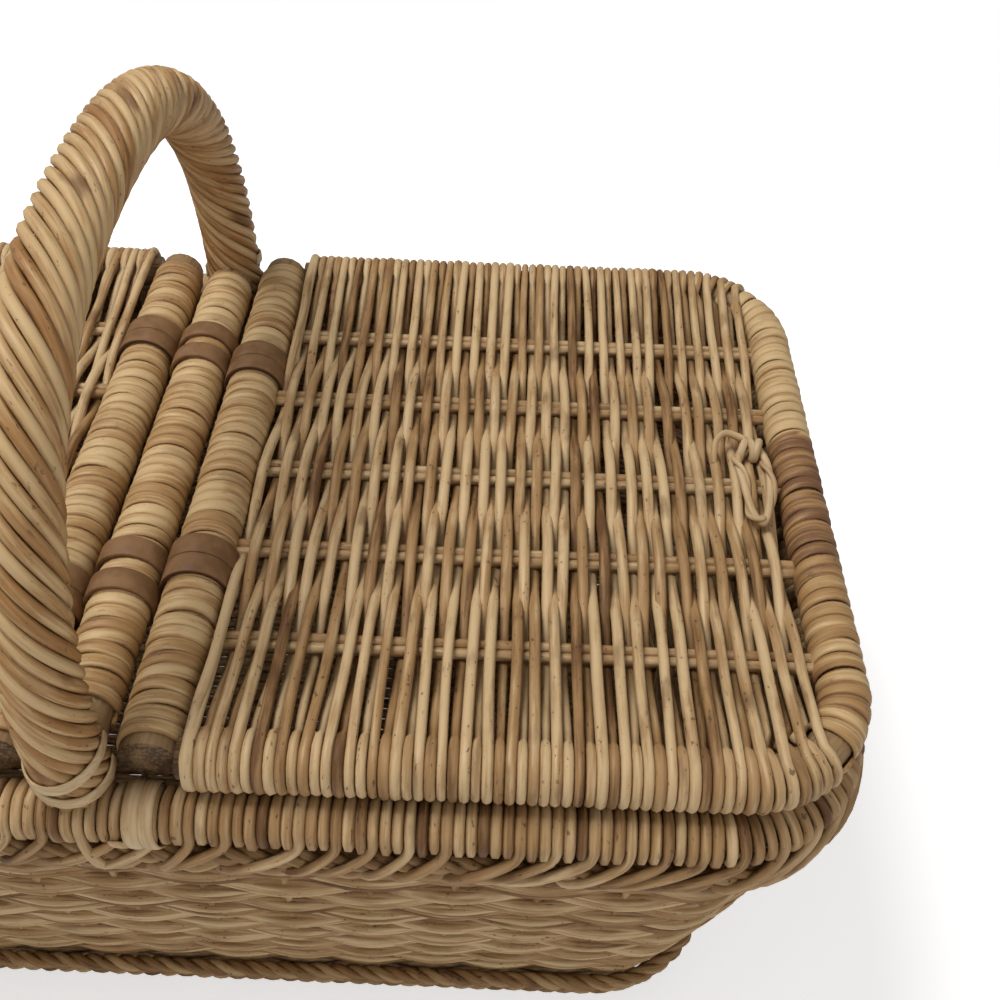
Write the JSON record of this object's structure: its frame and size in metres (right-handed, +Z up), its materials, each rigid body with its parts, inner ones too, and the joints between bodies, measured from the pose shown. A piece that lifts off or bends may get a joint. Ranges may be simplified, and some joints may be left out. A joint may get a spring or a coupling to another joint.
{
  "type": "picnic basket",
  "caption": "Rectangular wicker picnic basket with a twisted-rod hoop handle and a pair of strap-hinged woven lids that open from cane-bound bars across the middle.",
  "frame": {"origin": "on the floor under the middle of the basket", "axes": "+X along the basket's length, +Y towards its back, +Z up"},
  "size_m": [0.526, 0.307, 0.3485],
  "materials": {
    "buff_willow": "satin peeled willow rods",
    "brown_willow": "satin weathered willow rods",
    "cane": "semi-gloss split cane",
    "stick": "dull stripped stick",
    "leather": "worn brown leather"
  },
  "bodies": {
    "basket": {"base_panel": "brown_willow", "foot_border": "brown_willow", "side_wall": "buff_willow", "lower_wale": "brown_willow", "upper_wale": "brown_willow", "top_border": "buff_willow", "handle_bow": "stick", "handle_rods": "buff_willow", "handle_lashing_front": "cane", "handle_lashing_back": "cane", "middle_bar": "stick", "middle_bar_binding": "cane", "hinge_strap_right_back": "leather", "hinge_strap_right_front": "leather", "hinge_strap_left_back": "leather", "hinge_strap_left_front": "leather"},
    "lid_right": {"lid_bar_right": "stick", "lid_bar_binding_right": "cane", "lid_hoop_right": "stick", "lid_end_binding_right": "cane", "lid_weave_right": "buff_willow", "pull_loop_knot_right": "cane", "lid_stake_pair_1_right": "brown_willow", "lid_stake_pair_2_right": "brown_willow", "lid_stake_pair_3_right": "brown_willow", "lid_stake_pair_4_right": "brown_willow", "lid_stake_pair_5_right": "brown_willow"},
    "lid_left": {"lid_bar_left": "stick", "lid_bar_binding_left": "cane", "lid_hoop_left": "stick", "lid_end_binding_left": "cane", "lid_weave_left": "buff_willow", "pull_loop_knot_left": "cane", "lid_stake_pair_1_left": "brown_willow", "lid_stake_pair_2_left": "brown_willow", "lid_stake_pair_3_left": "brown_willow", "lid_stake_pair_4_left": "brown_willow", "lid_stake_pair_5_left": "brown_willow"},
    "pull_loop_right": {"pull_loop_right": "cane"},
    "pull_loop_left": {"pull_loop_left": "cane"}
  },
  "joints": [
    {"name": "lid_right_hinge", "type": "hinge", "parent": "basket", "child": "lid_right", "pos_m": [0.02485, 0, 0.20596], "axis": [0, -1, 0], "range_deg": [0, 88]},
    {"name": "lid_left_hinge", "type": "hinge", "parent": "basket", "child": "lid_left", "pos_m": [-0.02485, 0, 0.20596], "axis": [0, 1, 0], "range_deg": [0, 88]},
    {"name": "pull_loop_right_swing", "type": "hinge", "parent": "lid_right", "child": "pull_loop_right", "pos_m": [0.232, 0.014, 0.21306], "axis": [-1, 0, 0], "range_deg": [0, 110]},
    {"name": "pull_loop_left_swing", "type": "hinge", "parent": "lid_left", "child": "pull_loop_left", "pos_m": [-0.232, -0.014, 0.21306], "axis": [1, 0, 0], "range_deg": [0, 110]}
  ]
}
